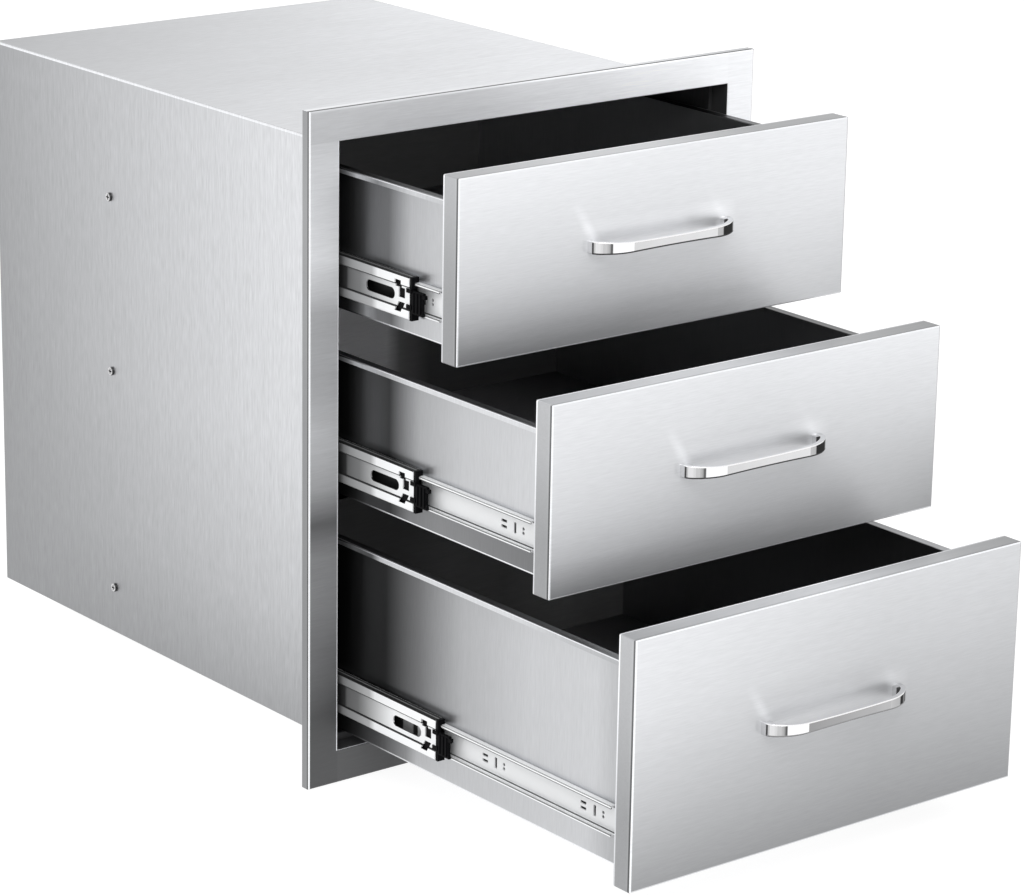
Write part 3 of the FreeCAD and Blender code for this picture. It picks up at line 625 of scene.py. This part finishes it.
def slide_tone(drawer, rail):
    """Painted light and shade: grey near the mouth of the case, painted shade and highlight lines along the
    folds, a dark painted top on the link.
    """
    def tone(tree):
        across, _, up = places(tree)
        gap = size_of(tree, minus(tree, up, RAIL_LEVEL[drawer]))
        off = minus(tree, WALL_INNER, size_of(tree, across))
        along = part_of(tree, world_point(tree), "Y")
        band_shade = ramp(tree, along, BAND_SHADE)
        if rail == "drawer_rail":
            web, band = ramp(tree, along, along_drawer_rail(drawer)), 1.0
        else:
            web, band = ramp(tree, along, WEB_SHADE), band_shade
        shade = between(tree, more(tree, gap, RAIL_FOLD[rail]), web, band)
        shade = between(tree, near_edge(tree, gap, RAIL_FOLD[rail], FOLD_LINE), shade, FOLD_TONE)
        bright = maths(tree, "MAXIMUM", near_edge(tree, gap, RAIL_EDGE[rail] - EDGE_LINE_IN, EDGE_LINE),
                       near_edge(tree, gap, RAIL_FOLD[rail] + FOLD_GLEAM_OUT, FOLD_GLEAM))
        shade = between(tree, bright, shade, band_shade)
        flange = between(tree, near_edge(tree, off, FLANGE_LINE_AT, FLANGE_LINE), FLANGE[rail],
                         FLANGE_LINE_TONE)
        flange = between(tree, near_edge(tree, off, RAIL_DEPTH[rail], FLANGE_RIM), flange, 1.0)
        return between(tree, facing(tree, "Z", 1), shade, flange)
    return tone


# Trim: outline and opening, then painted light and shade up its stiles, along its rails and over its returns
TRIM_HALF = 0.239
TRIM_FACE_AT = -0.0095
OPENING_HALF = 0.209
OPENING_TOP = 0.5226
OPENING_FOOT = -0.0048
OPENING_SLACK = 0.0004
TRIM_LEFT = [(-0.034, 0.08), (0.03, 0.08), (0.13, 0.33), (0.17, 0.34), (0.2, 0.16), (0.23, 0.47),
             (0.28, 0.66), (0.33, 0.53), (0.38, 0.53), (0.43, 0.94), (0.55, 0.6)]
TRIM_RIGHT = [(-0.034, 0.3), (0.1, 0.55), (0.3, 0.75), (0.45, 1.0)]
TRIM_HEAD = [(-TRIM_HALF, 0.6), (-0.06, 0.78), (0.0, 0.95), (0.1, 1.1), (TRIM_HALF, 1.0)]
TRIM_FOOT = [(-TRIM_HALF, 0.1), (-0.15, 0.07), (0.0, 0.2), (TRIM_HALF, 0.3)]
TRIM_RETURN = [(-0.034, 0.28), (0.1, 0.25), (0.3, 0.28), (0.47, 0.36), (0.55, 0.32)]
TRIM_OVER = [(TRIM_FACE_AT, 0.08), (-0.0063, 0.08), (-0.0057, 0.85), (0.0075, 0.85), (0.0082, 0.3),
             (0.012, 0.3)]
TRIM_OVER_ACROSS = [(-TRIM_HALF, 1.0), (0.1, 0.9), (TRIM_HALF, 0.6)]
# Painted lines and shade: a highlight along the left edge and beside the opening, a shade line along the
# right edge, shade behind the face's plane and behind the fold, and a highlight along the front edge of the
# opening's ledge, which is otherwise in painted shade
TRIM_LEFT_LINE = 0.0014
TRIM_RIM_TONE = 0.95
TRIM_RIGHT_TONE = 0.35
TRIM_FACE_BACK = -0.008
TRIM_SHADE_BEHIND_FACE = 0.05
TRIM_FOLD_BACK = -0.007
TRIM_SHADE_BEHIND_FOLD = 0.1
LEDGE_LINE = 0.0012
LEDGE_TONES = (0.05, 0.9)


def trim_face_tone(tree, across, along, up):
    """The flat face: painted light and shade on its stiles and rails, its painted bright and grey lines, and
    painted shade on what lies behind its plane.
    """
    aside = size_of(tree, across)
    face = between(tree, more(tree, up, OPENING_TOP), ramp(tree, up, TRIM_LEFT),
                   ramp(tree, across, TRIM_HEAD))
    face = between(tree, more(tree, across, OPENING_HALF), face, ramp(tree, up, TRIM_RIGHT))
    low = product(tree, less(tree, up, OPENING_FOOT), more(tree, across, -OPENING_HALF))
    face = between(tree, low, face, ramp(tree, across, TRIM_FOOT))
    beside = product(tree, near_edge(tree, aside, OPENING_HALF, LINE), less(tree, up, OPENING_TOP),
                     more(tree, up, OPENING_FOOT))
    rim = maths(tree, "MAXIMUM", near_edge(tree, across, -TRIM_HALF, TRIM_LEFT_LINE), beside)
    face = between(tree, rim, face, TRIM_RIM_TONE)
    face = between(tree, near_edge(tree, across, TRIM_HALF, LINE), face, TRIM_RIGHT_TONE)
    return between(tree, more(tree, along, TRIM_FACE_BACK), face, TRIM_SHADE_BEHIND_FACE)


def trim_fold_tone(tree, across, along, up):
    """The outer returns in painted light and shade, the top one with painted light over it, and the inner
    faces of the opening in painted shade, with a painted highlight along the ledge's front edge.
    """
    fold = between(tree, less(tree, along, TRIM_FOLD_BACK), ramp(tree, up, TRIM_RETURN), TRIM_SHADE_BEHIND_FOLD)
    over = product(tree, ramp(tree, along, TRIM_OVER), ramp(tree, across, TRIM_OVER_ACROSS))
    fold = between(tree, facing(tree, "Z", 1), fold, over)
    through = product(tree, less(tree, size_of(tree, across), OPENING_HALF + OPENING_SLACK),
                      less(tree, up, OPENING_TOP + OPENING_SLACK),
                      more(tree, up, OPENING_FOOT - OPENING_SLACK))
    inner = between(tree, facing(tree, "X", -1), INSIDE_SHADE, DEEP_SHADE)
    ledge = between(tree, near_edge(tree, along, TRIM_FACE_AT, LEDGE_LINE), *LEDGE_TONES)
    inner = between(tree, facing(tree, "Z", 1), inner, ledge)
    return between(tree, through, fold, inner)


def trim_tone(tree):
    point = places(tree)
    return between(tree, facing(tree, "Y", -1), trim_fold_tone(tree, *point), trim_face_tone(tree, *point))


# Handle: what the polished bar mirrors, by which way it turns, from its left end round to its right
TURN_LEFT = [(-1.0, 0.9), (-0.985, 0.9), (-0.965, 0.06), (-0.925, 0.08), (-0.905, 0.7), (-0.893, 0.3),
             (-0.88, 0.72), (-0.75, 0.72), (-0.62, 0.6), (-0.55, 0.35), (-0.52, 0.08), (-0.505, 0.08),
             (-0.485, 1.0), (-0.04, 1.0), (-0.02, 0.72), (-0.005, 1.0)]
TURN_RIGHT = [(0.005, 0.95), (0.02, 0.5), (0.17, 0.45), (0.2, 0.03), (0.58, 0.04), (0.68, 0.7), (1.0, 0.7)]
LOW_TURN_RIGHT = [(0.005, 0.95), (0.02, 0.5), (0.3, 0.42), (0.34, 0.03), (0.44, 0.04), (0.5, 0.3),
                  (0.56, 0.04), (0.62, 0.5), (1.0, 0.6)]
TURN = {
    "top": TURN_LEFT + TURN_RIGHT,
    "centre": TURN_LEFT + TURN_RIGHT,
    "bottom": TURN_LEFT + LOW_TURN_RIGHT,
}

# Painted reflection, highlight and shade on its straight front, its upper and lower edges, and the inner
# side of its bend and leg at the right, and painted reflection on its foot plates
BAR_FLAT = 0.015
BAR_SEAM = -0.0445
UPPER_BAR = [(-0.045, 0.66), (0.058, 0.75)]
BAR_TONE = {"top": UPPER_BAR, "centre": UPPER_BAR, "bottom": [(-0.045, 0.32), (0.0, 0.4), (0.058, 0.5)]}
BAR_UNDER = {"top": 0.06, "centre": 0.06, "bottom": 0.3}
BAR_WAIST = 0.0041
BAR_SPREAD = 4.2
UPPER_LINE = 0.0009
UPPER_LINE_TONE = 1.1
LOWER_LINE = 0.0014
BAR_TOP_TONE = 0.95
BAR_UNDERSIDE_SHADE = 0.05
TURNED = 0.3
BEND_FROM = 0.0445
INNER_TONES = (0.75, 0.05)
LEG_TONE = 0.12
FOOT_THICK = 0.0048
FOOT_PLATE = 0.8


# Painted reflection, highlight and shade over a handle, by which way its surface turns and where it lies
def chrome_tone(drawer):
    def tone(tree):
        across, along, up = places(tree)
        level = minus(tree, up, HANDLE_LEVEL[drawer])
        out = minus(tree, FRONT_AT[drawer], along)
        way = add(tree, "ShaderNodeNewGeometry").outputs["Normal"]
        turned = part_of(tree, way, "X")
        flat = product(tree, near_edge(tree, turned, 0, BAR_FLAT), more(tree, across, BAR_SEAM))
        bright = between(tree, flat, ramp(tree, turned, TURN[drawer]), ramp(tree, across, BAR_TONE[drawer]))
        bend = more(tree, across, BEND_FROM)
        inward = more(tree, part_of(tree, way, "Y"), TURNED)
        bright = between(tree, inward, bright, between(tree, bend, *INNER_TONES))
        leg_inside = product(tree, bend, less(tree, turned, -TURNED))
        bright = between(tree, leg_inside, bright, LEG_TONE)
        swell = maths(tree, "DIVIDE", product(tree, across, across), BAR_SPREAD)
        edge = maths(tree, "ADD", BAR_WAIST, swell)
        at_upper_edge = less(tree, minus(tree, edge, level), UPPER_LINE)
        bright = between(tree, at_upper_edge, bright, UPPER_LINE_TONE)
        at_lower_edge = less(tree, maths(tree, "ADD", edge, level), LOWER_LINE)
        bright = between(tree, at_lower_edge, bright, BAR_UNDER[drawer])
        bright = between(tree, facing(tree, "Z", 1), bright, BAR_TOP_TONE)
        bright = between(tree, facing(tree, "Z", -1), bright, BAR_UNDERSIDE_SHADE)
        return between(tree, less(tree, out, FOOT_THICK), bright, FOOT_PLATE)
    return tone


# Screws of the case: bright heads with painted shade in their sunken cross, and painted shade on the side
# turned to the front
SCREW_AT = 0.34
SCREW_FACE = 0.2084
CROSS_REACH = 0.0034
CROSS_SHADE = 0.05
SCREW_SIDE = [(-1.0, 0.08), (-0.3, 0.12), (-0.05, 0.7), (0.2, 1.0), (1.0, 1.0)]


def case_screw_tone(tree):
    across, along, up = places(tree)
    aside = minus(tree, along, SCREW_AT)
    nearest = None
    for level in RAIL_LEVEL.values():
        above = minus(tree, up, level)
        squares = maths(tree, "ADD", product(tree, aside, aside), product(tree, above, above))
        reach = maths(tree, "SQRT", squares)
        nearest = reach if nearest is None else maths(tree, "MINIMUM", nearest, reach)
    sunk = product(tree, less(tree, nearest, CROSS_REACH), less(tree, size_of(tree, across), SCREW_FACE))
    head = ramp(tree, part_of(tree, surface_normal(tree), "Y"), SCREW_SIDE)
    return between(tree, sunk, head, CROSS_SHADE)


# Painted light and shade on the inside of a box from left to right: its back wall, and its floor and liner
BACK_ACROSS = {
    "top": [(-0.19, 0.5), (-0.05, 0.5), (0.03, 0.2), (0.19, 0.22)],
    "centre": [(-0.19, 1.0), (-0.005, 1.0), (0.01, 0.35), (0.044, 0.12), (0.19, 0.12)],
    "bottom": [(-0.19, 0.1), (-0.07, 0.1), (-0.01, 0.17), (0.05, 0.17), (0.12, 0.3), (0.19, 0.3)],
}
INNER_ACROSS = [(-0.192, 1.6), (0.0, 1.3), (0.1, 0.9), (0.15, 0.5), (0.192, 0.3)]


def across_tone(stops):
    def tone(tree):
        return ramp(tree, part_of(tree, object_point(tree), "X"), stops)
    return tone


def trim_steel():
    return brushed("trim_brushed", STEEL, "X", roughness=0.4, tone=trim_tone, streak=0.02, metallic=0.2)


def case_side_steel(side, sign):
    return brushed(f"case_side_{side}", STEEL, "Z", CASE_ROUGHNESS, case_side_tone(sign), streak=0.045,
                   metallic=0.9)


def case_top_steel():
    return brushed("case_top_brushed", STEEL, "X", CASE_ROUGHNESS, case_level_tone(1))


def case_floor_steel():
    return brushed("case_floor_brushed", STEEL, "X", CASE_ROUGHNESS, case_level_tone(-1), metallic=0.2)


def case_back_steel():
    return brushed("case_back_brushed", STEEL, "Z", CASE_ROUGHNESS, case_back_tone)


def front_steel(drawer):
    return brushed(f"{drawer}_front_brushed", STEEL, "X", roughness=0.34, tone=front_tone(drawer),
                   streak=0.018, metallic=0.55)


def box_side_steel(drawer, side, sign):
    return brushed(f"{drawer}_side_{side}", STEEL, "Z", roughness=0.32, tone=box_side_tone(drawer, sign),
                   streak=0.022, metallic=0.9)


def box_back_steel(drawer):
    return brushed(f"{drawer}_back_brushed", WHITE, "X", roughness=0.4,
                   tone=across_tone(BACK_ACROSS[drawer]), metallic=0.0)


def box_inner_steel():
    return brushed("box_inside_brushed", SHADED_BOX_STEEL, "X", roughness=0.4, tone=across_tone(INNER_ACROSS),
                   metallic=0.4)


def slide_zinc(drawer, rail):
    return smooth_metal(f"{drawer}_{rail}_zinc", ZINC, roughness=0.35, smudge=0.03,
                        tone=slide_tone(drawer, rail), metallic=0.25, specular=0.2)


def handle_chrome(drawer):
    return smooth_metal(f"{drawer}_handle_chrome", CHROME, roughness=0.05, smudge=0.04,
                        tone=chrome_tone(drawer), specular=0.0, mirrored=True)


def screw_bright(name, tone=None):
    return smooth_metal(name, SCREW_STEEL, roughness=0.2, smudge=0.1, tone=tone)


def stop_plastic():
    return moulded_plastic("stop_plastic", BLACK, roughness=0.4)


def dress_case():
    paint("trim_frame", trim_steel())
    for side, sign in SIDES:
        paint(f"case_side_{side}", case_side_steel(side, sign))
        paint(f"rail_screws_{side}", screw_bright(f"case_screw_{side}", case_screw_tone))
    paint("case_top", case_top_steel())
    paint("case_floor", case_floor_steel())
    paint("case_back", case_back_steel())


def dress_drawers():
    inner = box_inner_steel()
    screw = screw_bright("screw_bright")
    plastic = stop_plastic()
    for drawer in DRAWERS:
        paint(f"{drawer}_drawer_front", front_steel(drawer))
        paint(f"{drawer}_drawer_liner", inner)
        paint(f"{drawer}_drawer_floor", inner)
        paint(f"{drawer}_drawer_back", box_back_steel(drawer))
        paint(f"{drawer}_drawer_handle", handle_chrome(drawer))
        paint(f"{drawer}_handle_screws", screw)
        for side, sign in SIDES:
            paint(f"{drawer}_drawer_side_{side}", box_side_steel(drawer, side, sign))
            paint(f"{drawer}_link_stop_{side}", plastic)
        for rail in RAIL_EDGE:
            zinc = slide_zinc(drawer, rail)
            for side, _ in SIDES:
                paint(f"{drawer}_{rail}_{side}", zinc)


def make_floor():
    mesh = bpy.data.meshes.new("floor")
    half = FLOOR_SIZE / 2
    level = cad_box[0][2] - FLOOR_GAP
    corners = [(x * half, y * half, level) for x, y in ((-1, -1), (1, -1), (1, 1), (-1, 1))]
    mesh.from_pydata(corners, [], [(0, 1, 2, 3)])
    floor = bpy.data.objects.new("floor", mesh)
    bpy.context.scene.collection.objects.link(floor)
    material, tree, shader = new_material("floor_pale")
    mottle = spread(tree, noise(tree, FLOOR_MOTTLE, detail=2.0), *FLOOR_MOTTLE_TONE)
    tree.links.new(tinted(tree, FLOOR_COLOUR, mottle), shader.inputs["Base Color"])
    shader.inputs["Roughness"].default_value = FLOOR_ROUGHNESS
    shader.inputs["Specular IOR Level"].default_value = FLOOR_SHEEN
    shader.inputs["Emission Color"].default_value = (1, 1, 1, 1)
    shader.inputs["Emission Strength"].default_value = FLOOR_GLOW
    mesh.materials.append(material)


def make_key_light():
    data = bpy.data.lights.new("key", "AREA")
    data.shape = "RECTANGLE"
    data.size, data.size_y = KEY_SIZE
    data.energy = KEY_POWER
    light = bpy.data.objects.new("key", data)
    light.location = KEY_AT
    light.rotation_euler = (Vector(KEY_AIM) - Vector(KEY_AT)).to_track_quat("-Z", "Y").to_euler()
    bpy.context.scene.collection.objects.link(light)


def make_sky():
    world = bpy.data.worlds.new("studio")
    world.use_nodes = True
    tree = world.node_tree
    way = add(tree, "ShaderNodeTexCoord").outputs["Generated"]
    sky = ramp(tree, part_of(tree, way, "Z"), SKY)
    tree.links.new(sky, tree.nodes["Background"].inputs["Color"])
    bpy.context.scene.world = world


def make_camera():
    data = bpy.data.cameras.new("camera")
    data.sensor_width = SENSOR_WIDTH
    data.lens = FOCAL_PIXELS * SENSOR_WIDTH / IMAGE_WIDTH
    data.clip_end = CLIP_END
    camera = bpy.data.objects.new("camera", data)
    forward = Vector((math.sin(CAMERA_YAW) * math.cos(CAMERA_PITCH),
                      math.cos(CAMERA_YAW) * math.cos(CAMERA_PITCH), math.sin(CAMERA_PITCH)))
    level = Vector((math.cos(CAMERA_YAW), -math.sin(CAMERA_YAW), 0))
    upright = level.cross(forward)
    right = math.cos(CAMERA_ROLL) * level + math.sin(CAMERA_ROLL) * upright
    up = math.cos(CAMERA_ROLL) * upright - math.sin(CAMERA_ROLL) * level
    turn = Matrix((right, up, -forward)).transposed().to_4x4()
    camera.matrix_world = Matrix.Translation(CAMERA_AT) @ turn
    bpy.context.scene.collection.objects.link(camera)
    bpy.context.scene.camera = camera


dress_case()
dress_drawers()
make_floor()
make_sky()
make_key_light()
make_camera()
bpy.context.scene.view_settings.view_transform = "Standard"
